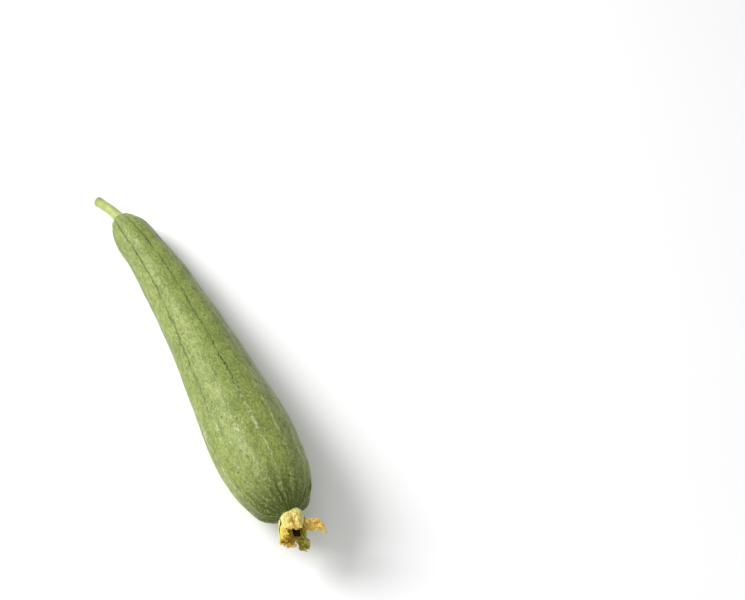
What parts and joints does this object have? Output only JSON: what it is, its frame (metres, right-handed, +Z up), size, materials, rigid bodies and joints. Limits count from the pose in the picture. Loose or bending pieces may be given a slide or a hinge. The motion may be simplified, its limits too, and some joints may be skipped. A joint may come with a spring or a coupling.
{
  "type": "sponge gourd",
  "caption": "Sponge gourd as picked: long green fruit, slim at its cut stem and full at the blossom end, with a withered yellow flower; lies on a flat surface.",
  "frame": {"origin": "on the surface that the gourd lies on, under the middle of its bounding box", "axes": "+X along the fruit from the cut stem to the flower, +Z up, +Y to the side that the fruit bows to"},
  "size_m": [0.3586, 0.06, 0.0601],
  "materials": {
    "fruit_skin": "fresh matte green skin with dark and pale lengthwise veins",
    "stem_green": "matte yellow-green stalk",
    "calyx_green": "matte pale green flower cup",
    "petal_yellow": "matte withered yellow petal",
    "stigma_dark": "matte dried dark brown"
  },
  "bodies": {
    "root": {"gourd_body": "fruit_skin", "stem": "stem_green", "calyx": "calyx_green", "petal_1": "petal_yellow", "petal_2": "petal_yellow", "petal_3": "petal_yellow", "petal_4": "petal_yellow", "petal_5": "petal_yellow", "stigma": "stigma_dark"}
  },
  "joints": []
}
